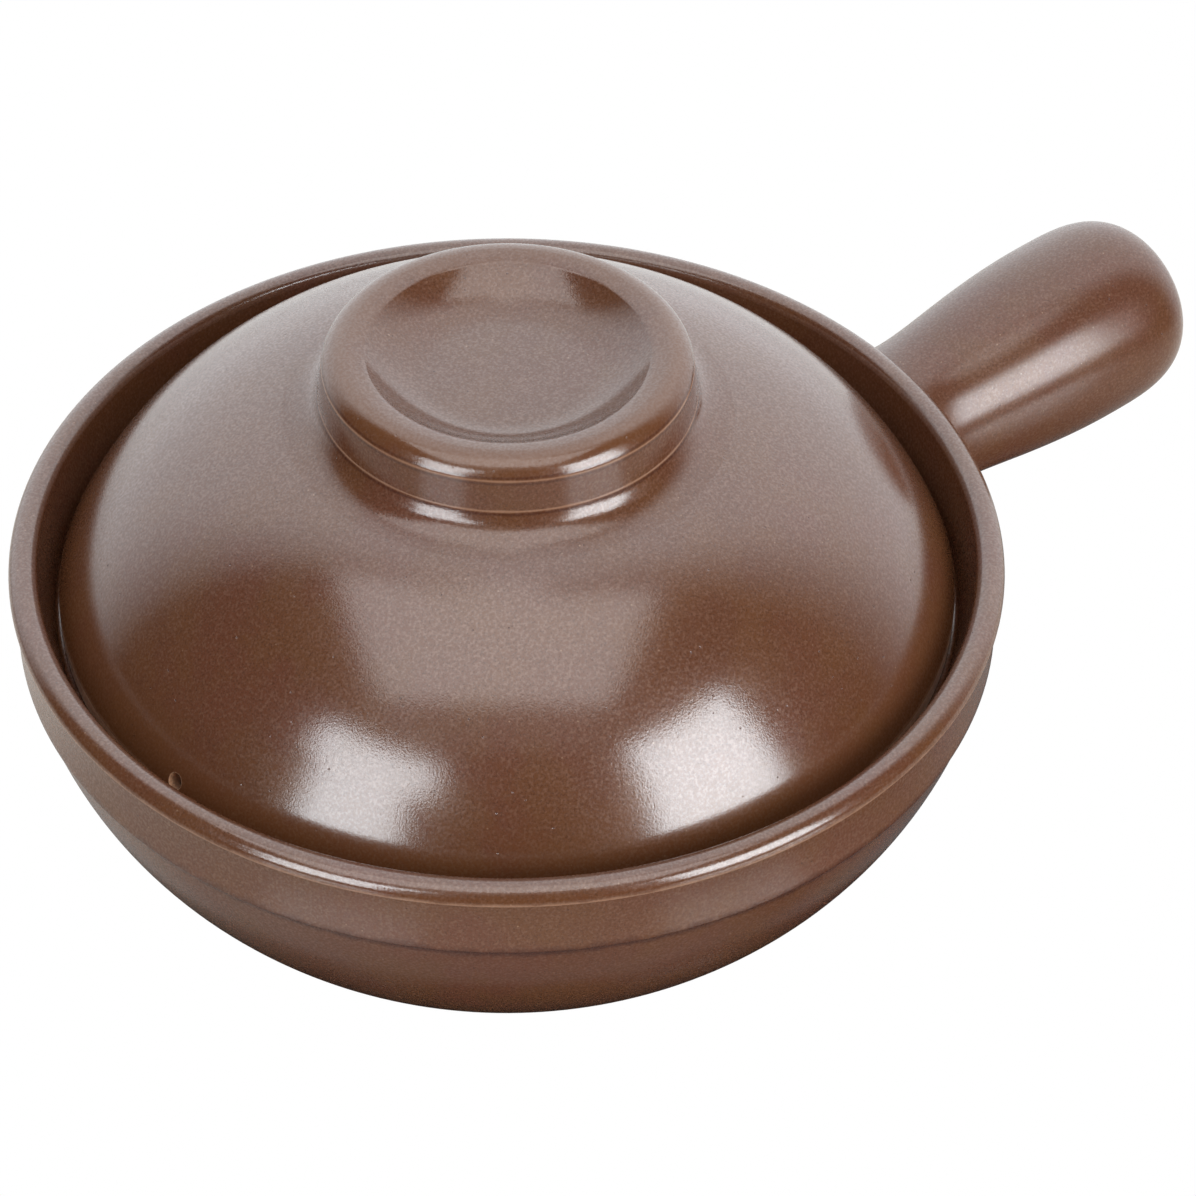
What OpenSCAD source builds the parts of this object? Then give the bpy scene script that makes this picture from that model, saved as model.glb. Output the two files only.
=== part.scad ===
// Glazed clay cooking pot with one hollow stub handle and a domed lid that drops into its rim.
// The pot's axis is Z, the table is Z = 0 and the handle points along +X. All sizes are in millimetres.
// Outlines are lists of [radius, height] that are turned about an axis, as on a potter's wheel.

/* [Pot] */
// Outer diameter of the pot across its lip
rim_d = 190; // [170:1:230]
// Height of the pot from the table to the top of the lip
pot_h = 65; // [58:1:85]
// Thickness of the bowl's wall
wall_t = 6.5; // [5:0.25:8]
// Thickness of the bowl's floor
floor_t = 7; // [5:0.25:9]
// How far the belly swells beyond a straight line from the band to the foot
belly_bulge = 4.85; // [3:0.05:8]

/* [Lip and band] */
// Width of the lip across its top
lip_w = 5.5; // [4.5:0.1:8]
// Radius of the lip's outer round, down to its crisp lower edge
lip_r = 3.1; // [2.5:0.1:4]
// How far the band below the lip is set in from it
band_in = 1.7; // [1:0.1:2.5]
// Height of the band, from the lip's lower edge to the groove
band_h = 12.6; // [9:0.1:15]
// How much wider the band is at its foot than at its top
band_flare = 0.9; // [0.4:0.1:1.5]
// Depth of the groove that parts the band from the belly
groove_in = 0.8; // [0.4:0.1:1.2]
// Height of the groove's sloping shoulder
groove_h = 0.5; // [0.3:0.1:1]

/* [Gallery] */
// How far the rim's inner wall closes in, from the lip down to the ledge
seat_draft = 2.4; // [1:0.1:3]
// Depth of the ledge that carries the lid, below the top of the lip
ledge_drop = 13; // [11:0.5:16]
// Width of the ledge from the foot of the rim's inner wall
ledge_w = 6.6; // [5:0.1:9]
// Height of the ledge's upright nose
ledge_t = 2.6; // [2:0.1:4]
// Height over which the ledge's underside runs back into the wall
ledge_blend = 6.5; // [5:0.5:9]
// Radius of the small rounds on the ledge
ledge_soft = 0.9; // [0.5:0.1:1.2]

/* [Foot] */
// Diameter of the foot ring
foot_d = 128; // [110:1:140]
// Height of the foot ring
foot_h = 3; // [2:0.25:4]
// Width of the foot ring's bare standing face
foot_w = 6; // [4:0.5:9]
// How far the belly stands out over the foot ring
foot_step = 1.8; // [1:0.1:3]
// Depth of the recess inside the foot ring
foot_recess = 1.8; // [1:0.1:2.5]
// Width of the curve between the wall and the floor inside
floor_blend = 9; // [5:0.5:12]

/* [Handle] */
// Length of the handle from the band to its round end, along its axis
handle_len = 74.4; // [60:0.5:110]
// Greatest diameter of the handle
handle_d = 40.2; // [34:0.2:46]
// Distance from the band to the handle's greatest diameter
handle_swell = 52; // [42:0.5:70]
// Diameter of the handle's flared root where it meets the band
handle_root_d = 35.6; // [32:0.2:40]
// How much the curve behind the root draws the handle's radius in
handle_nip = 4.2; // [2:0.1:5]
// Height of the handle's axis below the top of the lip, at the band
handle_drop = 21.7; // [19:0.1:26]
// Upward tilt of the handle in degrees
handle_tilt = 5.2; // [0:0.1:15]
// Squareness of the handle's round end: 2 is an ellipse
handle_square = 3.25; // [2:0.05:4]
// Wall thickness of the hollow handle
handle_t = 5; // [4:0.25:7]
// Diameter of the air hole in the handle's end
air_hole_d = 5; // [3:0.25:7]

/* [Lid] */
// Free space all round between the lid and the foot of the rim's inner wall
lid_gap = 1.1; // [0.8:0.1:2.5]
// Height of the lid's upright edge
lid_edge_h = 4.5; // [3:0.1:6]
// Rise of the dome from that edge to its crown
dome_rise = 41.8; // [34:0.2:50]
// Radius of the flat crown that the dome's curve starts from
crown_r = 19.9; // [14:0.1:24]
// Thickness of the lid
lid_t = 6; // [5:0.25:8]
// Clearance between the lid's bare seat and the ledge
seat_gap = 0.15; // [0.1:0.05:0.3]
// Diameter of the steam hole
steam_d = 3.8; // [3:0.1:5]
// Distance of the steam hole's centre from the lid's edge, measured up the dome
steam_up = 2.9; // [2.9:0.1:6]
// Direction of the steam hole about the pot's axis, in degrees from the handle
steam_turn = 189; // [0:1:359]

/* [Knob] */
// Diameter of the knob at the lower edge of its band
knob_d = 70.5; // [60:0.5:80]
// Height of that edge above the dome's crown
knob_lift = 1.9; // [1:0.1:4]
// Height of the knob's band
knob_band_h = 6.3; // [4:0.1:9]
// How much the band's radius shrinks towards its top edge
knob_taper = 0.8; // [0.3:0.1:1.5]
// Height of the rounded ring above the band
ring_h = 3.3; // [2:0.1:5]
// Width of the ring's rounded shoulder, from the band's edge in to its crest
ring_w = 4.9; // [3:0.1:6]
// Diameter of the dish's crisp inner edge
dish_d = 53.8; // [46:0.2:60]
// Drop from the ring's crest to that edge
dish_drop = 0.6; // [0.2:0.1:1.2]
// Depth of the dish below its edge
dish_depth = 5.2; // [3:0.1:6]
// Width of the curve between the dish's edge and its floor
dish_blend = 12.5; // [8:0.5:16]
// How far the neck under the band is drawn in
neck_in = 2.1; // [1:0.1:3.5]
// Height of the sloping underside between the band's edge and the neck
neck_slope = 1.1; // [0.5:0.1:1.5]
// How far the neck's curve spreads out over the dome
neck_spread = 3.3; // [2:0.1:4.5]

/* [Hidden] */
$fn = 120;
cut = 20; // overrun of cutting shapes
curve_steps = 14;
glaze = "#5a3320";

// A point at distance r from c, in the direction a
function polar(c, r, a) = [c[0] + r * cos(a), c[1] + r * sin(a)];
// Points of an arc about c, from angle a to angle b
function arc(c, r, a, b, n) = [for (i = [0:n]) polar(c, r, a + (b - a) * i / n)];
// Points of a soft curve from a to b, drawn towards the corner c
function bend(a, c, b, n = 8) =
    [for (i = [0:n]) let (t = i / n) (1 - t) * (1 - t) * a + 2 * t * (1 - t) * c + t * t * b];
// Points of a cubic curve
function cubic(p, n) = [for (i = [0:n]) let (t = i / n, s = 1 - t)
    s * s * s * p[0] + 3 * s * s * t * p[1] + 3 * s * t * t * p[2] + t * t * t * p[3]];
// Radius and centre of the arc that swells by s to the right of the line from p up to q
function arc_r(p, q, s) = (pow(norm(q - p) / 2, 2) + s * s) / (2 * s);
function arc_c(p, q, s) = let (d = (q - p) / norm(q - p), off = arc_r(p, q, s) - s)
    [(p[0] + q[0]) / 2 - d[1] * off, (p[1] + q[1]) / 2 + d[0] * off];
// Angle at which an arc about c with radius r passes height z
function angle_at(c, r, z) = asin((z - c[1]) / r);

// Rim, from the lip down
rim_r = rim_d / 2;
lip_in_r = lip_w - lip_r;
lip_edge_z = pot_h - lip_r;
band_top_r = rim_r - band_in;
band_foot_r = band_top_r + band_flare;
band_foot_z = lip_edge_z - band_h;
seat_wall_r = rim_r - lip_w;
seat_foot_r = seat_wall_r - seat_draft;
ledge_z = pot_h - ledge_drop;
ledge_r = seat_foot_r - ledge_w;

// Belly: one arc from the foot ring up to the groove
foot_r = foot_d / 2;
belly_foot = [foot_r + foot_step, foot_h];
belly_top = [band_foot_r - groove_in, band_foot_z - groove_h];
belly_r = arc_r(belly_foot, belly_top, belly_bulge);
belly_c = arc_c(belly_foot, belly_top, belly_bulge);
inner_r = belly_r - wall_t;
floor_z = foot_recess + floor_t;
blend_z = ledge_z - ledge_t - ledge_blend;
wall_top_a = angle_at(belly_c, inner_r, blend_z);
floor_a = angle_at(belly_c, inner_r, floor_z);
floor_corner = polar(belly_c, inner_r, floor_a);
wall_low_a = floor_a + floor_blend / 2 / inner_r * 180 / PI;

// Lid: the dome's outer arc is centred below the rim of its flat crown
lid_r = seat_foot_r - lid_gap;
lid_z = ledge_z + seat_gap;
edge_z = lid_z + lid_edge_h;
crown_z = edge_z + dome_rise;
dome_r = (pow(lid_r - crown_r, 2) + dome_rise * dome_rise) / (2 * dome_rise);
dome_c = [crown_r, crown_z - dome_r];
edge_a = angle_at(dome_c, dome_r, edge_z);
steam_a = edge_a + steam_up / dome_r * 180 / PI;
lid_soft = lid_t / 6;

// Knob
knob_r = knob_d / 2;
knob_z = crown_z + knob_lift;
neck_r = knob_r - neck_in;
spread_r = neck_r + neck_spread;
spread_a = acos((spread_r - crown_r) / dome_r);
band_top = [knob_r - knob_taper, knob_z + knob_band_h];
crest = band_top + [-ring_w, ring_h];
dish_edge = [dish_d / 2, crest[1] - dish_drop];
dish_floor_z = dish_edge[1] - dish_depth;

// Handle: [distance from the band, radius] along its own axis
handle_r = handle_d / 2;
root_r = handle_root_d / 2;
root_in = handle_root_d / 2;
// Pulls of the handle's curve, as shares of the distance to its greatest diameter
pull_share = 0.245;
swell_share = 0.5;
handle_z = pot_h - handle_drop;

// Outer outline of the bowl, from the foot ring's standing face up to the lip's crest
bowl_outer = concat(
    [[foot_r - foot_w, 0], [foot_r, 0], [foot_r, foot_h - foot_step / 2]],
    [belly_foot],
    arc(belly_c, belly_r, angle_at(belly_c, belly_r, belly_foot[1]),
        angle_at(belly_c, belly_r, belly_top[1]), 2 * curve_steps),
    bend([band_foot_r, band_foot_z], [band_top_r, band_foot_z + band_h / 2],
        [band_top_r, lip_edge_z - band_in / 2]),
    arc([rim_r - lip_r, lip_edge_z], lip_r, 0, 90, curve_steps));

// Inner outline, from the lip's crest down over the ledge to the middle of the floor
bowl_inner = concat(
    arc([seat_wall_r + lip_in_r, pot_h - lip_in_r], lip_in_r, 90, 180, curve_steps),
    bend([seat_foot_r, ledge_z + ledge_soft], [seat_foot_r, ledge_z], [seat_foot_r - ledge_soft, ledge_z]),
    bend([ledge_r + ledge_soft, ledge_z], [ledge_r, ledge_z], [ledge_r, ledge_z - ledge_soft]),
    bend([ledge_r, ledge_z - ledge_t], polar(belly_c, inner_r, wall_top_a) + [0, ledge_blend / 2],
        polar(belly_c, inner_r, wall_top_a)),
    arc(belly_c, inner_r, wall_top_a, wall_low_a, 2 * curve_steps),
    bend(polar(belly_c, inner_r, wall_low_a), floor_corner, floor_corner - [floor_blend / 2, 0]),
    [[0, floor_z]]);

module pot_bowl() {
    color(glaze) rotate_extrude()
        polygon(concat([[0, foot_recess], [foot_r - foot_w, foot_recess]], bowl_outer, bowl_inner));
}

// The bowl's outer form without its hollow, which the handle's root is fitted to
module bowl_core() {
    rotate_extrude() polygon(concat([[0, 0]], bowl_outer, [[0, pot_h]]));
    cylinder(r = seat_wall_r, h = pot_h + cut);
}

// Outline of the handle, drawn in by t for its hollow
function handle_outline(t) = let (
    root = cubic([[0, root_r - t], [pull_share * handle_swell, root_r - handle_nip - t],
        [(1 - swell_share) * handle_swell, handle_r - t], [handle_swell, handle_r - t]], curve_steps),
    end_len = handle_len - t - handle_swell)
    concat([[-root_in, root_r - t]], root,
        [for (i = [1:curve_steps]) let (u = sin(90 * i / curve_steps))
            [handle_swell + end_len * u,
             (handle_r - t) * pow(max(0, 1 - pow(u, handle_square)), 1 / handle_square)]]);

// A solid turned about the handle's axis, with [distance, radius] points
module turned(points) {
    rotate_extrude() polygon([for (p = concat([[points[0][0], 0]], points)) [p[1], p[0]]]);
}

module pot_handle() {
    color(glaze) difference() {
        translate([band_top_r, 0, handle_z]) rotate([0, 90 - handle_tilt, 0]) difference() {
            turned(handle_outline(0));
            turned(handle_outline(handle_t));
            cylinder(d = air_hole_d, h = handle_len + cut);
        }
        bowl_core();
    }
}

// The steam hole's tool, square to the dome's surface
module steam_tool() {
    rotate([0, 0, steam_turn]) translate([dome_c[0], 0, dome_c[1]]) rotate([0, 90 - steam_a, 0])
        translate([0, 0, dome_r - lid_t - lid_edge_h]) cylinder(d = steam_d, h = lid_t + lid_edge_h + cut);
}

module lid_dome() {
    inner = dome_r - lid_t;
    seat_a = angle_at(dome_c, inner, lid_z + lid_soft);
    seat_in = polar(dome_c, inner, seat_a);
    color(glaze) difference() {
        rotate_extrude() polygon(concat(
            [[0, crown_z - lid_t]],
            arc(dome_c, inner, 90, seat_a, 2 * curve_steps),
            bend(seat_in, [seat_in[0], lid_z], [seat_in[0] + lid_soft, lid_z]),
            bend([lid_r - lid_soft, lid_z], [lid_r, lid_z], [lid_r, lid_z + lid_soft]),
            arc(dome_c, dome_r, edge_a, 90, 2 * curve_steps),
            [[0, crown_z]]));
        steam_tool();
    }
}

module lid_knob() {
    color(glaze) rotate_extrude() polygon(concat(
        [[0, crown_z]],
        arc(dome_c, dome_r, 90, spread_a, curve_steps),
        bend(polar(dome_c, dome_r, spread_a), [neck_r, knob_z - 2 * neck_slope], [neck_r, knob_z - neck_slope]),
        [[knob_r, knob_z], band_top],
        [for (i = [1:curve_steps]) let (a = 90 * i / curve_steps)
            [crest[0] + ring_w * cos(a), band_top[1] + ring_h * sin(a)]],
        bend(dish_edge, [dish_edge[0] - dish_blend / 2, dish_floor_z], [dish_edge[0] - dish_blend, dish_floor_z],
            curve_steps),
        [[0, dish_floor_z]]));
}

pot_bowl();
pot_handle();
lid_dome();
lid_knob();
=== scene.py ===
import math

import bpy
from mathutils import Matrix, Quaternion, Vector


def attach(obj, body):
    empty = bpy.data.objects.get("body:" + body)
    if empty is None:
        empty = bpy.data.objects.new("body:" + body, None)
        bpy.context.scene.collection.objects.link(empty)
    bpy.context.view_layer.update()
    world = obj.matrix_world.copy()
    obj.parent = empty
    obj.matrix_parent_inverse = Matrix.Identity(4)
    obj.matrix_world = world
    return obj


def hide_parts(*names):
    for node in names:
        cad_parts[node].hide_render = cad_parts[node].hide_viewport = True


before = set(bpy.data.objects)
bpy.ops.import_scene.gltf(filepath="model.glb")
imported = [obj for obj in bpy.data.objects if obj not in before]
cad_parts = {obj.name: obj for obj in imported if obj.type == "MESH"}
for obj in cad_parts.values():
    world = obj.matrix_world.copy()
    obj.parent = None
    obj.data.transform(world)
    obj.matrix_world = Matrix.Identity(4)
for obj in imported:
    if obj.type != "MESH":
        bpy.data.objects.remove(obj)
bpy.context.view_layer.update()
print("stage: frame loaded,", len(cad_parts), "nodes")

mm = 0.001  # sizes in the piece dictionaries are millimetres
smoothAngle = math.radians(38)
pickWithin = 0.01 * mm
weldWithin = 0.002 * mm


# Helpers

def selectNothing():
    if bpy.context.mode != "OBJECT":
        bpy.ops.object.mode_set(mode="OBJECT")
    bpy.ops.object.select_all(action="DESELECT")


def activate(piece):
    selectNothing()
    piece.select_set(True)
    bpy.context.view_layer.objects.active = piece


def onArc(centre, radius, angle):
    a = math.radians(angle)
    return (centre[0] + radius * math.cos(a), centre[1] + radius * math.sin(a))


def evenSteps(start, end, count):
    return [start + (end - start) * i / count for i in range(count + 1)]


def arcPoints(centre, radius, start, end, count):
    return [onArc(centre, radius, angle) for angle in evenSteps(start, end, count)]


def bendPoints(a, corner, b, count=8):  # a soft curve from a to b, drawn towards the corner
    points = []
    for t in evenSteps(0, 1, count):
        p, q, s = (1 - t) ** 2, 2 * t * (1 - t), t ** 2
        points.append((p * a[0] + q * corner[0] + s * b[0], p * a[1] + q * corner[1] + s * b[1]))
    return points


def swoopPoints(a, b, c, d, count):  # a curve from a to d that leaves towards b and arrives from c
    points = []
    for t in evenSteps(0, 1, count):
        weights = ((1 - t) ** 3, 3 * t * (1 - t) ** 2, 3 * t * t * (1 - t), t ** 3)
        points.append(tuple(sum(w * p[axis] for w, p in zip(weights, (a, b, c, d))) for axis in (0, 1)))
    return points


def leanPoint(start, lean, run):  # a step of that length from start, at lean degrees off straight up
    return (start[0] + run * math.sin(math.radians(lean)), start[1] + run * math.cos(math.radians(lean)))


def swellingArc(low, high, swell):  # centre and radius of the arc that swells to the right of the line up
    run, rise = high[0] - low[0], high[1] - low[1]
    chord = math.hypot(run, rise)
    radius = (chord ** 2 / 4 + swell ** 2) / (2 * swell)
    off = (radius - swell) / chord
    return ((low[0] + high[0]) / 2 - rise * off, (low[1] + high[1]) / 2 + run * off), radius


def angleAt(centre, radius, height):
    return math.degrees(math.asin((height - centre[1]) / radius))


def drawOutline(name, points):
    # one vertex is extruded from point to point in the XZ plane; a point is a radius and a height
    selectNothing()
    bpy.ops.mesh.primitive_plane_add(size=mm, location=(points[0][0] * mm, 0, points[0][1] * mm))
    piece = bpy.context.object
    piece.name = name
    bpy.ops.object.mode_set(mode="EDIT")
    bpy.ops.mesh.merge(type="CENTER")
    for last, point in zip(points, points[1:]):
        move = ((point[0] - last[0]) * mm, 0, (point[1] - last[1]) * mm)
        bpy.ops.mesh.extrude_region_move(TRANSFORM_OT_translate={"value": move})
    bpy.ops.object.mode_set(mode="OBJECT")
    bpy.ops.object.transform_apply(location=True, rotation=True, scale=True)
    return piece


def roundCorner(piece, corner, radius, segments=4):
    # the outline's vertex at that place gets a small round, as a fired glaze leaves on every edge
    activate(piece)
    bpy.ops.object.mode_set(mode="EDIT")
    bpy.ops.mesh.select_all(action="DESELECT")
    bpy.ops.object.mode_set(mode="OBJECT")
    spot = Vector((corner[0] * mm, 0, corner[1] * mm))
    for vertex in piece.data.vertices:
        vertex.select = (vertex.co - spot).length < pickWithin
    bpy.ops.object.mode_set(mode="EDIT")
    bpy.ops.mesh.bevel(offset=radius * mm, offset_type="OFFSET", segments=segments, affect="VERTICES")
    bpy.ops.object.mode_set(mode="OBJECT")


def spinOutline(piece, turns):
    activate(piece)
    bpy.ops.object.mode_set(mode="EDIT")
    bpy.ops.mesh.select_all(action="SELECT")
    bpy.ops.mesh.spin(steps=turns, angle=2 * math.pi, center=(0, 0, 0), axis=(0, 0, 1))
    bpy.ops.mesh.select_all(action="SELECT")
    bpy.ops.mesh.remove_doubles(threshold=weldWithin)
    bpy.ops.mesh.normals_make_consistent(inside=False)
    bpy.ops.object.mode_set(mode="OBJECT")
    bpy.ops.object.shade_smooth_by_angle(angle=smoothAngle)


def cutWith(piece, cutter):
    activate(piece)
    cut = piece.modifiers.new("cut", "BOOLEAN")
    cut.operation, cut.solver, cut.object = "DIFFERENCE", "EXACT", cutter
    bpy.ops.object.modifier_apply(modifier=cut.name)
    bpy.data.objects.remove(cutter)
    bpy.ops.object.shade_smooth_by_angle(angle=smoothAngle)


def finishPiece(piece, node, body, material):
    piece.data.materials.clear()
    piece.data.materials.append(material)
    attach(piece, body)
    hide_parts(node)
    print("stage:", piece.name, len(piece.data.vertices), "vertices")


# Camera

view = {
    "place": (-0.3035, -0.4291, 0.5274),  # metres
    "aim": (0.0027, -0.0253, 0.0650),
    "roll": 1.19,  # degrees
    "lens": 110.19,
    "sensor": 36.0,
    "clip": (0.01, 50),
}


def makeCamera():
    data = bpy.data.cameras.new("camera")
    data.lens, data.sensor_width = view["lens"], view["sensor"]
    data.clip_start, data.clip_end = view["clip"]
    camera = bpy.data.objects.new("camera", data)
    bpy.context.scene.collection.objects.link(camera)
    aim = (Vector(view["aim"]) - Vector(view["place"])).to_track_quat("-Z", "Y")
    camera.location = view["place"]
    camera.rotation_mode = "QUATERNION"
    camera.rotation_quaternion = aim @ Quaternion((0, 0, 1), math.radians(view["roll"]))
    bpy.context.scene.camera = camera


makeCamera()
print("stage: camera placed")


# Glaze and clay

glaze = {  # a noise has its scale, to the metre, and its detail
    "body": (0.119, 0.045, 0.0215),
    "golden": (0.126, 0.0485, 0.0200),
    "red": (0.125, 0.0435, 0.0225),
    "amber": (0.136, 0.051, 0.0170),  # where it stretches over a swell
    "thin": (0.38, 0.21, 0.13),  # where it breaks over an edge
    "darkAndShade": (0.042, 0.010, 0.006),  # dark in pits and in the groove, and painted shade beside the knob's crisp edges
    "grainDark": (0.074, 0.027, 0.0125),
    "grainLight": (0.178, 0.079, 0.043),
    "speck": (0.36, 0.22, 0.14),
    "speckTint": 0.6,
    "pitTint": 0.8,
    "pitDepth": 3.0,
    "cloudNoise": (28, 4),
    "driftNoise": (75, 3),
    "grain": 0.32 * mm,
    "grainDetail": 1,
    "coarseShare": 0.6,  # the coarse grain's scale, as a share of the fine grain's
    "speckle": 1.7 * mm,
    "raggedNoise": (260, 3),
    "ragged": 2.0,  # how uneven a ring's width is
    "bump": 0.025 * mm,
    "bumpStrength": 0.7,
    "roughness": (0.125, 0.16),
    "ior": 1.5,
    "shine": 0.5,
    "haze": (0.08, 0.42),  # a share of the light is spread wide by the fine grain
    "hazeRoughness": 0.30,
}

glazeRanges = {  # the noise where each starts and where it is full, and for some its least and its most
    "red": (0.40, 0.66),
    "golden": (0.42, 0.64),
    "grainDark": (0.52, 0.28, 0, 0.75),
    "grainLight": (0.52, 0.74, 0, 0.55),
    "dot": (0.14, 0.05),
    "speck": (0.72, 1.0),
    "pit": (0.84, 0.88),
    "roughness": (0.3, 0.7),
    "haze": (0.32, 0.68),
}

clay = {
    "light": (0.60, 0.33, 0.18),
    "dark": (0.42, 0.21, 0.11),
    "sandNoise": (1500, 3),
    "stainNoise": (90, 2),
    "waverDetail": 2,  # of the noise that its edges follow
    "sandShare": 0.6,
    "range": (0.35, 0.65),
    "roughness": 0.85,
}


def newGroup(name, inputs, outputs):
    kinds = {"Vector": "NodeSocketVector", "Colour": "NodeSocketColor"}
    group = bpy.data.node_groups.new(name, "ShaderNodeTree")
    for side, labels in (("INPUT", inputs), ("OUTPUT", outputs)):
        for label in labels:
            kind = kinds.get(label, "NodeSocketFloat")
            group.interface.new_socket(name=label, in_out=side, socket_type=kind)
    return group, group.nodes.new("NodeGroupInput"), group.nodes.new("NodeGroupOutput")


def addMath(tree, operation, first, second=None, clamp=False):
    node = tree.nodes.new("ShaderNodeMath")
    node.operation = operation
    node.use_clamp = clamp
    for socket, value in zip(node.inputs, (first, second)):
        if isinstance(value, bpy.types.NodeSocket):
            tree.links.new(value, socket)
        elif value is not None:
            socket.default_value = value
    return node.outputs[0]


def addVectorMath(tree, operation, first, second=None):
    node = tree.nodes.new("ShaderNodeVectorMath")
    node.operation = operation
    tree.links.new(first, node.inputs[0])
    if second is not None:
        node.inputs[1].default_value = second
    return node.outputs["Value" if operation in ("LENGTH", "DOT_PRODUCT") else "Vector"]


def addParts(tree, vector):
    node = tree.nodes.new("ShaderNodeSeparateXYZ")
    tree.links.new(vector, node.inputs[0])
    return node.outputs


def addLength(tree, first, second):
    squares = [addMath(tree, "MULTIPLY", value, value) for value in (first, second)]
    return addMath(tree, "SQRT", addMath(tree, "ADD", *squares))


def addNoise(tree, vector, scale, detail):
    node = tree.nodes.new("ShaderNodeTexNoise")
    node.inputs["Scale"].default_value = scale
    node.inputs["Detail"].default_value = detail
    tree.links.new(vector, node.inputs["Vector"])
    return node.outputs["Fac"]


def addRange(tree, value, low, high, toLow=0.0, toHigh=1.0):
    node = tree.nodes.new("ShaderNodeMapRange")
    node.interpolation_type = "SMOOTHSTEP"
    for label, number in (("From Min", low), ("From Max", high), ("To Min", toLow), ("To Max", toHigh)):
        if isinstance(number, bpy.types.NodeSocket):
            tree.links.new(number, node.inputs[label])
        else:
            node.inputs[label].default_value = number
    tree.links.new(value, node.inputs["Value"])
    return node.outputs["Result"]


def addStep(tree, value, level, reach):  # from 0 to 1 between the two distances from level, in millimetres
    return addRange(tree, value, (level + reach[0]) * mm, (level + reach[1]) * mm)


def addMix(tree, factor, first, second):
    node = tree.nodes.new("ShaderNodeMix")
    node.data_type = "RGBA"
    for socket, value in ((node.inputs[0], factor), (node.inputs[6], first), (node.inputs[7], second)):
        if isinstance(value, bpy.types.NodeSocket):
            tree.links.new(value, socket)
        elif isinstance(value, tuple):
            socket.default_value = (*value, 1)
        else:
            socket.default_value = value
    return node.outputs[2]


def addAxisDistance(tree, place, start, along):  # how far a point is from the line through start
    cross = addVectorMath(tree, "CROSS_PRODUCT", addVectorMath(tree, "SUBTRACT", place, start), along)
    return addVectorMath(tree, "LENGTH", cross)


def addWaveringHeight(tree, place, scale, waver):
    wobble = addMath(tree, "MULTIPLY", addNoise(tree, place, scale, clay["waverDetail"]), waver * mm)
    return addMath(tree, "ADD", addParts(tree, place)[2], wobble)


def makeGrainGroup():
    # fired glaze: slow clouds of colour, a fine light and dark grain, and a few stray specks and pits
    group, start, end = newGroup("glazeGrain", ["Vector"], ["Colour", "Height", "Roughness", "Haze"])
    place = start.outputs["Vector"]
    cloud = addNoise(group, place, *glaze["cloudNoise"])
    drift = addNoise(group, place, *glaze["driftNoise"])
    fine = addNoise(group, place, 1 / glaze["grain"], glaze["grainDetail"])
    coarse = addNoise(group, place, glaze["coarseShare"] / glaze["grain"], glaze["grainDetail"])
    colour = glaze["body"]
    for tint, noise in (("red", cloud), ("golden", drift), ("grainDark", fine), ("grainLight", coarse)):
        colour = addMix(group, addRange(group, noise, *glazeRanges[tint]), colour, glaze[tint])

    specks = group.nodes.new("ShaderNodeTexVoronoi")
    specks.inputs["Scale"].default_value = 1 / glaze["speckle"]
    group.links.new(place, specks.inputs["Vector"])
    pick = group.nodes.new("ShaderNodeSeparateColor")
    group.links.new(specks.outputs["Color"], pick.inputs[0])
    dot = addRange(group, specks.outputs["Distance"], *glazeRanges["dot"])
    speck = addMath(group, "MULTIPLY", dot, addRange(group, pick.outputs[0], *glazeRanges["speck"]))
    pit = addMath(group, "MULTIPLY", dot, addRange(group, pick.outputs[1], *glazeRanges["pit"]))
    colour = addMix(group, addMath(group, "MULTIPLY", speck, glaze["speckTint"]), colour, glaze["speck"])
    colour = addMix(group, addMath(group, "MULTIPLY", pit, glaze["pitTint"]), colour, glaze["darkAndShade"])
    group.links.new(colour, end.inputs["Colour"])

    height = addMath(group, "SUBTRACT", fine, addMath(group, "MULTIPLY", pit, glaze["pitDepth"]))
    group.links.new(height, end.inputs["Height"])
    rough = addRange(group, drift, *glazeRanges["roughness"], *glaze["roughness"])
    group.links.new(rough, end.inputs["Roughness"])
    group.links.new(addRange(group, coarse, *glazeRanges["haze"], *glaze["haze"]), end.inputs["Haze"])
    return group


def makeRingGroup():
    # a ring about the Z axis: where the glaze runs thin over an edge, where it is darker in a groove, and
    # painted shade beside the knob's edges
    group, start, end = newGroup("glazeRing", ["Vector", "Radius", "Height", "Width"], ["Mask"])
    place = start.outputs["Vector"]
    x, y, z = addParts(group, place)
    side = addMath(group, "SUBTRACT", addLength(group, x, y), start.outputs["Radius"])
    rise = addMath(group, "SUBTRACT", z, start.outputs["Height"])
    ragged = addMath(group, "MULTIPLY", addNoise(group, place, *glaze["raggedNoise"]), glaze["ragged"])
    reach = addMath(group, "MULTIPLY", start.outputs["Width"], ragged)
    far = addMath(group, "DIVIDE", addLength(group, side, rise), reach)
    group.links.new(addMath(group, "SUBTRACT", 1.0, far, clamp=True), end.inputs["Mask"])
    return group


def makeClayGroup():
    # sandy bare clay, with stains
    group, start, end = newGroup("bareClay", ["Vector"], ["Colour", "Height"])
    sand = addNoise(group, start.outputs["Vector"], *clay["sandNoise"])
    stain = addNoise(group, start.outputs["Vector"], *clay["stainNoise"])
    sandPart = addMath(group, "MULTIPLY", sand, clay["sandShare"])
    stainPart = addMath(group, "MULTIPLY", stain, 1 - clay["sandShare"])
    light = addRange(group, addMath(group, "ADD", sandPart, stainPart), *clay["range"])
    group.links.new(addMix(group, light, clay["dark"], clay["light"]), end.inputs["Colour"])
    group.links.new(sand, end.inputs["Height"])
    return group


grainGroup, ringGroup, clayGroup = makeGrainGroup(), makeRingGroup(), makeClayGroup()


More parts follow.
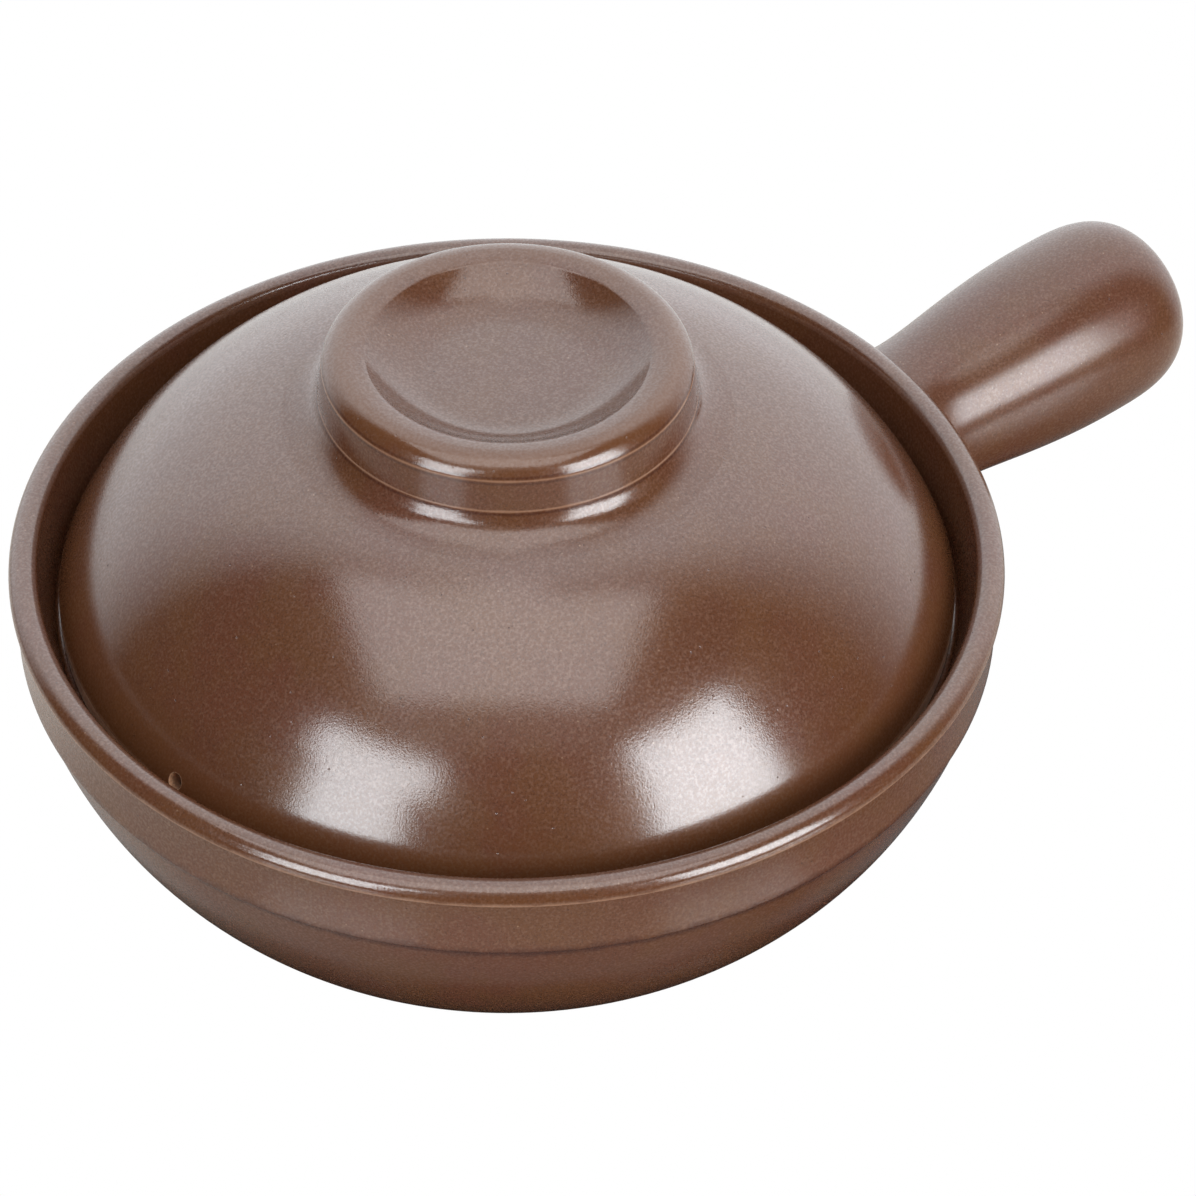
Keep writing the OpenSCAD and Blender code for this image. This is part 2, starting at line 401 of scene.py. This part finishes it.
def addGroup(tree, group, vector, **values):
    node = tree.nodes.new("ShaderNodeGroup")
    node.node_tree = group
    tree.links.new(vector, node.inputs["Vector"])
    for label, value in values.items():
        node.inputs[label].default_value = value
    return node


def besideCorner(corner, look):
    # a ring of glaze, where look is how far out and up from the corner it lies, its width and its strength
    return (corner[0] + look[0], corner[1] + look[1], look[2], look[3])


def glazeMaterial(name, edges=(), darkRings=(), swells=(), bareMask=None, shine=glaze["shine"], rougher=0):
    # edges, darkRings and swells are rings: radius, height and width in millimetres, and strength;
    # darkRings darken the glaze, and on the knob they are painted shade
    # bareMask adds the nodes that find bare clay
    material = bpy.data.materials.new(name)
    material.use_nodes = True
    tree = material.node_tree
    shader = tree.nodes["Principled BSDF"]
    place = tree.nodes.new("ShaderNodeTexCoord").outputs["Object"]
    grain = addGroup(tree, grainGroup, place)
    colour, height = grain.outputs["Colour"], grain.outputs["Height"]
    rough = addMath(tree, "ADD", grain.outputs["Roughness"], rougher)
    rings = [(glaze["amber"], ring) for ring in swells] + [(glaze["thin"], ring) for ring in edges]
    rings += [(glaze["darkAndShade"], ring) for ring in darkRings]
    for tint, (radius, level, width, strength) in rings:
        ring = addGroup(tree, ringGroup, place, Radius=radius * mm, Height=level * mm, Width=width * mm)
        colour = addMix(tree, addMath(tree, "MULTIPLY", ring.outputs["Mask"], strength), colour, tint)
    if bareMask:
        mask = bareMask(tree, place)
        bare = addGroup(tree, clayGroup, place)
        colour = addMix(tree, mask, colour, bare.outputs["Colour"])
        rough = addRange(tree, mask, 0, 1, rough, clay["roughness"])
        height = addMath(tree, "ADD", height, addMath(tree, "MULTIPLY", mask, bare.outputs["Height"]))
    tree.links.new(colour, shader.inputs["Base Color"])
    tree.links.new(rough, shader.inputs["Roughness"])
    bump = tree.nodes.new("ShaderNodeBump")
    bump.inputs["Strength"].default_value = glaze["bumpStrength"]
    bump.inputs["Distance"].default_value = glaze["bump"]
    tree.links.new(height, bump.inputs["Height"])
    tree.links.new(bump.outputs["Normal"], shader.inputs["Normal"])
    shader.inputs["IOR"].default_value = glaze["ior"]
    shader.inputs["Specular IOR Level"].default_value = shine
    haze = addMath(tree, "MULTIPLY", grain.outputs["Haze"], shine / glaze["shine"])
    tree.links.new(haze, shader.inputs["Coat Weight"])
    shader.inputs["Coat Roughness"].default_value = glaze["hazeRoughness"]
    return material


# Pot bowl

bowl = {
    "rim": 95.0,
    "height": 65.0,
    "wall": 6.5,
    "floor": 7.0,
    "bellySwell": 4.85,  # how far the belly bulges from a straight wall
    "lipWidth": 5.5,
    "lipRound": 3.1,
    "bandInset": 1.7,
    "bandHeight": 12.6,
    "bandFlare": 0.9,  # how much further out the band's foot is
    "grooveDepth": 0.8,
    "grooveHeight": 0.5,
    "ledgeDrop": 13.0,
    "seatDraft": 2.4,  # how far the rim's inner wall slopes in on its way down
    "ledgeWidth": 6.6,
    "ledgeNose": 2.6,  # how far the ledge's inner face goes straight down
    "ledgeBlend": 6.5,
    "ledgeSoft": 0.9,
    "foot": 64.0,
    "footHeight": 3.0,
    "footFace": 6.0,
    "footStep": 1.8,
    "recess": 1.8,
    "floorBlend": 9.0,
    "crisp": 0.35,  # radius left on crisp edges
    "bellyPoints": 36,
    "wallPoints": 32,
    "lipPoints": 20,
    "lipInPoints": 16,
    "floorShares": (0.6, 0.3, 0),  # where the floor has its rings, as shares of its radius
    "turns": 224,
    "lipThin": (0, 0, 0.7, 0.75),  # glaze rings: out and up from a corner, width and strength
    "lipSwell": (0, 0, 4.0, 0.3),
    # darker in the groove under the band
    "grooveDark": (0.3, -0.05, 1.9, 1.0),
    "bareEdge": (0.6, 0.3),
    "bareScale": 120,
    "bareWaver": -0.5,
}

lipEdge = bowl["height"] - bowl["lipRound"]
bandTop = bowl["rim"] - bowl["bandInset"]
bandFoot = (bandTop + bowl["bandFlare"], lipEdge - bowl["bandHeight"])
seatWall = bowl["rim"] - bowl["lipWidth"]
seatFoot = seatWall - bowl["seatDraft"]
ledgeTop = bowl["height"] - bowl["ledgeDrop"]
ledgeNose = seatFoot - bowl["ledgeWidth"]
bellyFoot = (bowl["foot"] + bowl["footStep"], bowl["footHeight"])
bellyTop = (bandFoot[0] - bowl["grooveDepth"], bandFoot[1] - bowl["grooveHeight"])
bellyCentre, bellyRadius = swellingArc(bellyFoot, bellyTop, bowl["bellySwell"])


def bowlOuter(inset=0.0):
    lowest = angleAt(bellyCentre, bellyRadius, bellyFoot[1])
    highest = angleAt(bellyCentre, bellyRadius, bellyTop[1])
    side = bandTop - inset
    return (
        arcPoints(bellyCentre, bellyRadius - inset, lowest, highest, bowl["bellyPoints"])
        + bendPoints((bandFoot[0] - inset, bandFoot[1]), (side, bandFoot[1] + bowl["bandHeight"] / 2),
                     (side, lipEdge - bowl["bandInset"] / 2))
    )


def bowlInner():
    lipIn = bowl["lipWidth"] - bowl["lipRound"]
    soft = bowl["ledgeSoft"]
    inner = bellyRadius - bowl["wall"]
    floorTop = bowl["recess"] + bowl["floor"]
    wallTop = angleAt(bellyCentre, inner, ledgeTop - bowl["ledgeNose"] - bowl["ledgeBlend"])
    floorAngle = angleAt(bellyCentre, inner, floorTop)
    wallLow = floorAngle + math.degrees(bowl["floorBlend"] / 2 / inner)
    start = onArc(bellyCentre, inner, wallTop)
    corner = onArc(bellyCentre, inner, floorAngle)
    nose = (ledgeNose, ledgeTop - bowl["ledgeNose"])
    return (
        arcPoints((seatWall + lipIn, bowl["height"] - lipIn), lipIn, 90, 180, bowl["lipInPoints"])[1:]
        + bendPoints((seatFoot, ledgeTop + soft), (seatFoot, ledgeTop), (seatFoot - soft, ledgeTop))
        + bendPoints((ledgeNose + soft, ledgeTop), (ledgeNose, ledgeTop), (ledgeNose, ledgeTop - soft))
        + bendPoints(nose, (start[0], start[1] + bowl["ledgeBlend"] / 2), start)
        + arcPoints(bellyCentre, inner, wallTop, wallLow, bowl["wallPoints"])[1:]
        + bendPoints(onArc(bellyCentre, inner, wallLow), corner,
                     (corner[0] - bowl["floorBlend"] / 2, corner[1]))[1:]
        + [(corner[0] * share, floorTop) for share in bowl["floorShares"]]
    )


def makeBowl():
    footIn = bowl["foot"] - bowl["footFace"]
    footFaces = [(footIn, bowl["recess"]), (footIn, 0), (bowl["foot"], 0),
                 (bowl["foot"], bowl["footHeight"] - bowl["footStep"] / 2)]
    lipCentre = (bowl["rim"] - bowl["lipRound"], lipEdge)
    lip = arcPoints(lipCentre, bowl["lipRound"], 0, 90, bowl["lipPoints"])
    underside = [(0, bowl["recess"]), (footIn / 2, bowl["recess"])]
    piece = drawOutline("potBowl", underside + footFaces + bowlOuter() + lip + bowlInner())
    for corner in (footFaces[1], footFaces[2], bellyFoot, bandFoot, bellyTop, lip[0]):
        roundCorner(piece, corner, bowl["crisp"])
    spinOutline(piece, bowl["turns"])
    return piece


def bowlBare(tree, place):
    # bare clay on the standing face, with a wavering edge
    height = addWaveringHeight(tree, place, bowl["bareScale"], bowl["bareWaver"])
    return addStep(tree, height, 0, bowl["bareEdge"])


def makeBowlMaterial():
    lip = (bowl["rim"], lipEdge)
    edges = [besideCorner(lip, bowl["lipThin"])]
    darkRings = [besideCorner(bellyTop, bowl["grooveDark"])]
    swells = [besideCorner(lip, bowl["lipSwell"])]
    return glazeMaterial("bowlGlaze", edges, darkRings, swells, bowlBare)


finishPiece(makeBowl(), "pot_bowl", "pot", makeBowlMaterial())


# Pot handle

handle = {
    "length": 74.4,
    "thickest": 20.1,
    "swellAt": 52.0,
    "root": 17.8,
    "nip": 4.2,  # how far its side is pulled in behind the root
    "pullShare": 0.245,  # where that is, on the way to the swell
    "swellShare": 0.5,  # how much of that way the swell's own curve takes
    "drop": 21.7,
    "tilt": 5.2,
    "square": 3.25,  # 2 would be a round end, and more is a blunter one
    "wall": 5.0,
    "airHole": 2.5,
    "airRound": 0.5,
    "airClear": 0.4,
    "airBare": (0.55, 0.2),
    "airAt": (120, 125),  # its edge is bare only this far out
    "inWall": 0.8,  # how far the root is let into the bowl's wall
    "saddleIn": 2.0,
    "saddleTop": 80.0,
    "shine": 0.33,  # its glaze is duller
    "rougher": 0.07,
    "rootPoints": 28,
    "endPoints": 30,
    "turns": 128,
}

handleStart = Vector((bandTop, 0, bowl["height"] - handle["drop"])) * mm


def handleOutline(inset):
    swell, grip, root = handle["swellAt"], handle["thickest"] - inset, handle["root"] - inset
    side = swoopPoints((root, 0), (root - handle["nip"], handle["pullShare"] * swell),
                       (grip, (1 - handle["swellShare"]) * swell), (grip, swell), handle["rootPoints"])
    end = handle["length"] - inset - swell
    cap = []
    for angle in evenSteps(0, 90, handle["endPoints"])[1:]:
        u = math.sin(math.radians(angle))
        cap.append((grip * max(0, 1 - u ** handle["square"]) ** (1 / handle["square"]), swell + end * u))
    return [(root, -handle["root"])] + side + cap


def makeHandle():
    clear = handle["airHole"] + handle["airClear"]
    outer = [point for point in handleOutline(0) if point[0] > clear]
    inner = [point for point in handleOutline(handle["wall"]) if point[0] > clear]
    tip, tipIn = handle["length"], handle["length"] - handle["wall"]
    outline = outer + [(handle["airHole"], tip), (handle["airHole"], tipIn)] + inner[::-1] + outer[:1]
    piece = drawOutline("potHandle", outline)
    roundCorner(piece, (handle["airHole"], tip), handle["airRound"])
    spinOutline(piece, handle["turns"])
    piece.rotation_euler = (0, math.radians(90 - handle["tilt"]), 0)
    piece.location = handleStart
    activate(piece)
    bpy.ops.object.transform_apply(location=True, rotation=True, scale=True)
    core = [(0, 0), (bellyFoot[0] - handle["saddleIn"], 0)] + bowlOuter(handle["inWall"])
    core += [(bandTop - handle["inWall"], handle["saddleTop"]), (0, handle["saddleTop"])]
    cutter = drawOutline("handleSaddle", core)
    spinOutline(cutter, bowl["turns"])
    cutWith(piece, cutter)
    return piece


def handleBare(tree, place):
    # bare clay round the air hole in the handle's end
    tilt = math.radians(handle["tilt"])
    away = addAxisDistance(tree, place, handleStart, (math.cos(tilt), 0, math.sin(tilt)))
    hole = addStep(tree, away, handle["airHole"], handle["airBare"])
    atEnd = addStep(tree, addParts(tree, place)[0], 0, handle["airAt"])
    return addMath(tree, "MULTIPLY", hole, atEnd)


def makeHandleMaterial():
    return glazeMaterial("handleGlaze", bareMask=handleBare,
                         shine=handle["shine"], rougher=handle["rougher"])


finishPiece(makeHandle(), "pot_handle", "pot", makeHandleMaterial())


# Lid dome

lid = {
    "gap": 1.1,
    "seatGap": 0.15,
    "edge": 4.5,
    "rise": 41.8,
    "crown": 19.9,  # radius of the flat top under the knob
    "wall": 6.0,
    "soft": 1.0,
    "steam": 1.6,
    "steamUp": 1.9,
    "steamTurn": 190.0,
    "steamDepth": 30.0,
    "steamSides": 40,
    "steamBare": (0.15, -0.02),
    "steamSide": (0, 10),  # its edge is bare only this far to the side away from the handle
    "crisp": 0.35,
    "domePoints": 72,
    "insidePoints": 48,
    "turns": 256,
    "edgeThin": (0, 0, 0.55, 0.6),
    "edgeSwell": (0, 0, 16.0, 0.7),
    "bareEdge": (0.25, -0.15),
    "bareScale": 150,
    "bareWaver": 0.5,
}

lidRim = seatFoot - lid["gap"]
lidFoot = ledgeTop + lid["seatGap"]
lidEdge = lidFoot + lid["edge"]
crownTop = lidEdge + lid["rise"]
domeRadius = ((lidRim - lid["crown"]) ** 2 + lid["rise"] ** 2) / (2 * lid["rise"])
domeCentre = (lid["crown"], crownTop - domeRadius)
edgeAngle = angleAt(domeCentre, domeRadius, lidEdge)


def steamAxis():
    # the steam hole's middle on the dome, and the way it points
    angle = edgeAngle + math.degrees(lid["steamUp"] / domeRadius)
    turn = math.radians(lid["steamTurn"])
    r, z = onArc(domeCentre, domeRadius, angle)
    a = math.radians(angle)
    out = Vector((math.cos(a) * math.cos(turn), math.cos(a) * math.sin(turn), math.sin(a)))
    return Vector((r * math.cos(turn), r * math.sin(turn), z)) * mm, out


def makeDome():
    inner = domeRadius - lid["wall"]
    seatAngle = angleAt(domeCentre, inner, lidFoot + lid["soft"])
    seatIn = onArc(domeCentre, inner, seatAngle)
    outline = (
        [(0, crownTop - lid["wall"]), (lid["crown"] / 2, crownTop - lid["wall"])]
        + arcPoints(domeCentre, inner, 90, seatAngle, lid["insidePoints"])
        + bendPoints(seatIn, (seatIn[0], lidFoot), (seatIn[0] + lid["soft"], lidFoot))[1:]
        + bendPoints((lidRim - lid["soft"], lidFoot), (lidRim, lidFoot), (lidRim, lidFoot + lid["soft"]))
        + arcPoints(domeCentre, domeRadius, edgeAngle, 90, lid["domePoints"])
        + [(lid["crown"] / 2, crownTop), (0, crownTop)]
    )
    piece = drawOutline("lidDome", outline)
    roundCorner(piece, (lidRim, lidEdge), lid["crisp"])
    spinOutline(piece, lid["turns"])
    place, out = steamAxis()
    selectNothing()
    size = {"vertices": lid["steamSides"], "radius": lid["steam"] * mm, "depth": lid["steamDepth"] * mm}
    bpy.ops.mesh.primitive_cylinder_add(location=place, **size)
    cutter = bpy.context.object
    cutter.rotation_mode = "QUATERNION"
    cutter.rotation_quaternion = out.to_track_quat("Z", "Y")
    cutWith(piece, cutter)
    return piece


def lidBare(tree, place):
    # bare clay on the seat under the lid, up its side and inside the steam hole
    height = addWaveringHeight(tree, place, lid["bareScale"], lid["bareWaver"])
    seat = addStep(tree, height, lidEdge, lid["bareEdge"])
    hole = addStep(tree, addAxisDistance(tree, place, *steamAxis()), lid["steam"], lid["steamBare"])
    fromHandle = addMath(tree, "MULTIPLY", addParts(tree, place)[0], -1)
    hole = addMath(tree, "MULTIPLY", hole, addStep(tree, fromHandle, 0, lid["steamSide"]))
    return addMath(tree, "MAXIMUM", seat, hole)


def makeLidMaterial():
    edges = [besideCorner((lidRim, lidEdge), lid["edgeThin"])]
    swells = [besideCorner((lidRim, lidEdge), lid["edgeSwell"])]
    return glazeMaterial("lidGlaze", edges, swells=swells, bareMask=lidBare)


finishPiece(makeDome(), "lid_dome", "lid", makeLidMaterial())


# Lid knob

knob = {
    "radius": 35.1,
    "lift": 1.9,
    "band": 6.3,
    "taper": 0.8,
    "ringHeight": 3.3,
    "ringWidth": 4.9,
    "ringLean": 22.0,  # how far the ring leans in where it starts, over the upper crisp edge
    "ringLow": 2.6,  # how far its curve keeps that lean
    "ringTop": 2.0,  # and how far it stays level from the crest
    "dish": 26.6,
    "dishDrop": 0.6,
    "dishDepth": 5.7,
    "dishBlend": 12.5,
    "dishRound": 1.0,
    "neckSpread": 7.0,  # how much further out the neck's foot is
    "neckLean": 20.0,
    "neckRun": 5.2,
    "neckPullShare": 0.48,
    "sunk": 0.3,  # how far its foot is let into the dome
    "crisp": 0.3,
    "footPoints": 12,
    "neckPoints": 24,
    "ringPoints": 24,
    "dishPoints": 28,
    "dishRoundPoints": 8,
    "dishShares": (0.35, 0.17, 0),  # where the dish's floor has its rings, as shares of its radius
    "turns": 224,
    "shine": 0.44,
    "edgeThin": (0, 0, 0.32, 0.7),
    # painted shade: dark lines just over and under the upper crisp edge and under the lower one, where
    # tiny grooves would lie in shade
    "paintedShadeOver": (-0.2, 0.55, 0.35, 0.5),
    "paintedShadeUnder": (0.05, -0.6, 0.4, 0.6),
    "paintedShadeNeck": (0.2, -0.55, 0.4, 0.6),
    "crestSwell": (1.8, -0.6, 5.0, 1.0),
}

knobFoot = crownTop + knob["lift"]
lowEdge = (knob["radius"], knobFoot)
knobTop = (knob["radius"] - knob["taper"], knobFoot + knob["band"])
crest = (knobTop[0] - knob["ringWidth"], knobTop[1] + knob["ringHeight"])
dishEdge = (knob["dish"], crest[1] - knob["dishDrop"])
dishFloor = dishEdge[1] - knob["dishDepth"]


def makeKnob():
    spread = math.degrees(math.acos((knob["radius"] + knob["neckSpread"] - lid["crown"]) / domeRadius))
    low = domeRadius - knob["sunk"]
    foot = onArc(domeCentre, domeRadius, spread)
    footPull = leanPoint(foot, -spread, knob["neckRun"])  # back up the dome's slope
    neckPull = leanPoint(lowEdge, 180 - knob["neckLean"], knob["neckRun"] * knob["neckPullShare"])
    ringPull = leanPoint(knobTop, -knob["ringLean"], knob["ringLow"])
    crestPull = (crest[0] + knob["ringTop"], crest[1])
    outline = (
        [(0, crownTop - knob["sunk"])]
        + arcPoints(domeCentre, low, 90, spread, knob["footPoints"])
        + swoopPoints(foot, footPull, neckPull, lowEdge, knob["neckPoints"])
        + swoopPoints(knobTop, ringPull, crestPull, crest, knob["ringPoints"])
        + bendPoints(dishEdge, (dishEdge[0] - knob["dishBlend"] / 2, dishFloor),
                     (dishEdge[0] - knob["dishBlend"], dishFloor), knob["dishPoints"])
        + [(dishEdge[0] * share, dishFloor) for share in knob["dishShares"]]
    )
    piece = drawOutline("lidKnob", outline)
    for corner in (lowEdge, knobTop):
        roundCorner(piece, corner, knob["crisp"])
    roundCorner(piece, dishEdge, knob["dishRound"], knob["dishRoundPoints"])
    spinOutline(piece, knob["turns"])
    return piece


def makeKnobMaterial():
    edges = [besideCorner(corner, knob["edgeThin"]) for corner in (lowEdge, knobTop)]
    # painted shade in dark lines beside the crisp edges
    darkRings = [besideCorner(knobTop, knob["paintedShadeOver"]), besideCorner(knobTop, knob["paintedShadeUnder"]),
             besideCorner(lowEdge, knob["paintedShadeNeck"])]
    swells = [besideCorner(crest, knob["crestSwell"])]
    return glazeMaterial("knobGlaze", edges, darkRings, swells, shine=knob["shine"])


finishPiece(makeKnob(), "lid_knob", "lid", makeKnobMaterial())


# Studio

studio = {
    "reach": 3.0,  # how far off the back wall and the overhead panel are, in metres
    "step": 6,  # degrees between the points of the back wall
    "ambient": 0.83,
    "coolWhite": (0.90, 0.96, 1.0),
    "wallWhite": (0.97, 0.99, 1.02),
    "softboxShare": 0.9,  # how far off the softboxes are, as a share of the back wall's reach
    "softboxColumns": 6,
    "softboxRows": 4,
    "fill": 30,
    "fillFrom": (42, 26, 2.5),  # turn and rise in degrees, and distance in metres
    "fillSize": 1.6,
}

softboxes = {  # left, right, low and high in degrees, and strength
    "softboxLeft": (-51, -17, 29, 39.3, 12.0),
    "softboxLeftLow": (-47, -23, 7.5, 29, 12.0),
    "softboxRight": (35.5, 67.5, 8, 40, 14.5),
}

overhead = {  # its edges, as shares of its height over the pot
    "left": -0.56,
    "right": 0.48,
    "back": -0.15,
    "front": 0.62,
    "strength": 3.85,
    "spillFront": 1.0,  # its spill goes on to here
    "spillStrength": 0.6,
}

backWall = {
    "from": 99,
    "to": 255,
    "low": -30,
    "high": 84,
    "rise": (-0.3, 0.8),  # as shares of its distance
    "strength": (1.55, 2.75),  # at its foot and at its top
    "fade": (0.12, 0.62, 0.08, 1.0),  # over the cosine of the turn from its middle
}

floorLook = {
    "size": 0.6,
    "sides": 96,
    "pale": (0.85, 0.85, 0.85, 1),
    "roughness": 0.16,
    "middle": (60, 0, 0.04),  # of the painted shadow under the pot: turn, rise and distance from the axis
    "underHandle": (0.12, 0, 0),
    "handleIn": 0.055,
    # painted shadow under the pot and handle, and the painted lit floor round it
    "dark": (0.02, 0.02, 0.02),
    "shadowEdge": (0.08, 0.17),
    "lit": (0.82, 0.76, 0.68),
    "litEdge": (0.40, 0.24),
    "far": (0.95, 0.95, 0.95),
    "farEdge": (0.10, 0.30),
}

cameraTurn = math.atan2(view["place"][1] - view["aim"][1], view["place"][0] - view["aim"][0])


def lightMaterial(name, strength, tint=(1, 1, 1)):
    material = bpy.data.materials.new(name)
    material.use_nodes = True
    tree = material.node_tree
    tree.nodes.remove(tree.nodes["Principled BSDF"])
    glow = tree.nodes.new("ShaderNodeEmission")
    glow.inputs["Strength"].default_value = strength
    glow.inputs["Color"].default_value = (*tint, 1)
    tree.links.new(glow.outputs[0], tree.nodes["Material Output"].inputs["Surface"])
    return material, tree, glow


def towards(turn, rise, reach):
    # a point in that direction, with turn in degrees from the camera's side, to its right
    a, e = cameraTurn + math.radians(turn), math.radians(rise)
    return Vector((math.cos(a) * math.cos(e), math.sin(a) * math.cos(e), math.sin(e))) * reach


def makeCard(name, rows, material):
    # a card through rows of points, seen only in reflections
    mesh = bpy.data.meshes.new(name)
    wide = len(rows[0])
    faces = [(r * wide + c, r * wide + c + 1, (r + 1) * wide + c + 1, (r + 1) * wide + c)
             for r in range(len(rows) - 1) for c in range(wide - 1)]
    mesh.from_pydata([p for row in rows for p in row], [], faces)
    card = bpy.data.objects.new(name, mesh)
    bpy.context.scene.collection.objects.link(card)
    mesh.materials.append(material)
    card.visible_camera = card.visible_diffuse = card.visible_shadow = False


def wallMaterial():
    # brighter towards the top, and it fades at both sides
    material, tree, glow = lightMaterial("backWallGlow", 1, studio["wallWhite"])
    place = tree.nodes.new("ShaderNodeTexCoord").outputs["Object"]
    x, y, z = addParts(tree, place)
    low, high = (share * studio["reach"] for share in backWall["rise"])
    strength = addRange(tree, z, low, high, *backWall["strength"])
    ahead = addVectorMath(tree, "DOT_PRODUCT", place, -towards(0, 0, 1))
    depth = addMath(tree, "DIVIDE", ahead, addLength(tree, x, y))
    fade = addRange(tree, depth, *backWall["fade"])
    tree.links.new(addMath(tree, "MULTIPLY", strength, fade), glow.inputs["Strength"])
    return material


def makeCards():
    reach = studio["reach"]
    turns = range(backWall["from"], backWall["to"] + 1, studio["step"])
    rises = range(backWall["low"], backWall["high"] + 1, studio["step"])
    wall = [[towards(turn, rise, reach) for turn in turns] for rise in rises]
    makeCard("backWall", wall, wallMaterial())

    ahead, right, up = towards(0, 0, reach), towards(90, 0, reach), Vector((0, 0, reach))
    ends = (overhead["back"], overhead["front"], overhead["spillFront"])
    sides = (overhead["left"], overhead["right"])
    rows = [[up + right * side + ahead * depth for side in sides] for depth in ends]
    makeCard("overheadPanel", rows[:2], lightMaterial("overheadGlow", overhead["strength"])[0])
    makeCard("overheadSpill", rows[1:], lightMaterial("spillGlow", overhead["spillStrength"])[0])

    reach *= studio["softboxShare"]
    for name, (left, rightEdge, low, high, strength) in softboxes.items():
        turns = evenSteps(left, rightEdge, studio["softboxColumns"])
        rises = evenSteps(low, high, studio["softboxRows"])
        rows = [[towards(turn, rise, reach) for turn in turns] for rise in rises]
        makeCard(name, rows, lightMaterial(name + "Glow", strength, studio["coolWhite"])[0])


def addShaderMix(tree, factor, first, second):
    node = tree.nodes.new("ShaderNodeMixShader")
    for socket, value in zip(node.inputs, (factor, first, second)):
        tree.links.new(value, socket)
    return node.outputs[0]


def makeFloor():
    # white to the camera, pale to the light that falls on the pot, and dim in its reflections
    selectNothing()
    bpy.ops.mesh.primitive_circle_add(vertices=floorLook["sides"], radius=floorLook["size"],
                                      fill_type="NGON")
    floor = bpy.context.object
    floor.name = "floor"
    material = bpy.data.materials.new("paleFloor")
    material.use_nodes = True
    tree = material.node_tree
    pale = tree.nodes["Principled BSDF"]
    pale.inputs["Base Color"].default_value = floorLook["pale"]
    pale.inputs["Roughness"].default_value = 1

    # painted light and shade, seen in its reflections: a painted shadow under the pot and its handle, lit
    # round them, dark again further out to the sides and in front, and pale behind
    glossy = tree.nodes.new("ShaderNodeBsdfPrincipled")
    glossy.inputs["Roughness"].default_value = floorLook["roughness"]
    place = tree.nodes.new("ShaderNodeTexCoord").outputs["Object"]
    out = addAxisDistance(tree, place, towards(*floorLook["middle"]), (0, 0, 1))
    handleOut = addAxisDistance(tree, place, floorLook["underHandle"], (0, 0, 1))
    out = addMath(tree, "MINIMUM", out, addMath(tree, "ADD", handleOut, floorLook["handleIn"]))
    edges = [addRange(tree, out, *floorLook[edge]) for edge in ("shadowEdge", "litEdge")]
    near = addMix(tree, addMath(tree, "MULTIPLY", *edges), floorLook["dark"], floorLook["lit"])
    ahead = addVectorMath(tree, "DOT_PRODUCT", place, -towards(0, 0, 1))
    colour = addMix(tree, addRange(tree, ahead, *floorLook["farEdge"]), near, floorLook["far"])
    tree.links.new(colour, glossy.inputs["Base Color"])

    glow = tree.nodes.new("ShaderNodeEmission")
    seen = tree.nodes.new("ShaderNodeLightPath")
    inGloss = addShaderMix(tree, seen.outputs["Is Glossy Ray"], pale.outputs[0], glossy.outputs[0])
    inView = addShaderMix(tree, seen.outputs["Is Camera Ray"], inGloss, glow.outputs[0])
    tree.links.new(inView, tree.nodes["Material Output"].inputs["Surface"])
    floor.data.materials.append(material)


def makeWorld():
    world = bpy.data.worlds.new("studioWorld")
    bpy.context.scene.world = world
    world.use_nodes = True
    sky = world.node_tree.nodes["Background"]
    sky.inputs["Color"].default_value = (1, 1, 1, 1)
    sky.inputs["Strength"].default_value = studio["ambient"]
    world.cycles_visibility.glossy = False


def makeFill():
    data = bpy.data.lights.new("fill", "AREA")
    data.shape = "DISK"
    data.size = studio["fillSize"]
    data.energy = studio["fill"]
    fill = bpy.data.objects.new("fill", data)
    bpy.context.scene.collection.objects.link(fill)
    fill.location = towards(*studio["fillFrom"])
    fill.rotation_mode = "QUATERNION"
    fill.rotation_quaternion = (-fill.location).to_track_quat("-Z", "Y")
    fill.visible_glossy = False
    fill.visible_camera = False


makeCards()
makeFloor()
makeWorld()
makeFill()
bpy.context.scene.view_settings.view_transform = "Standard"
print("stage: studio lit")
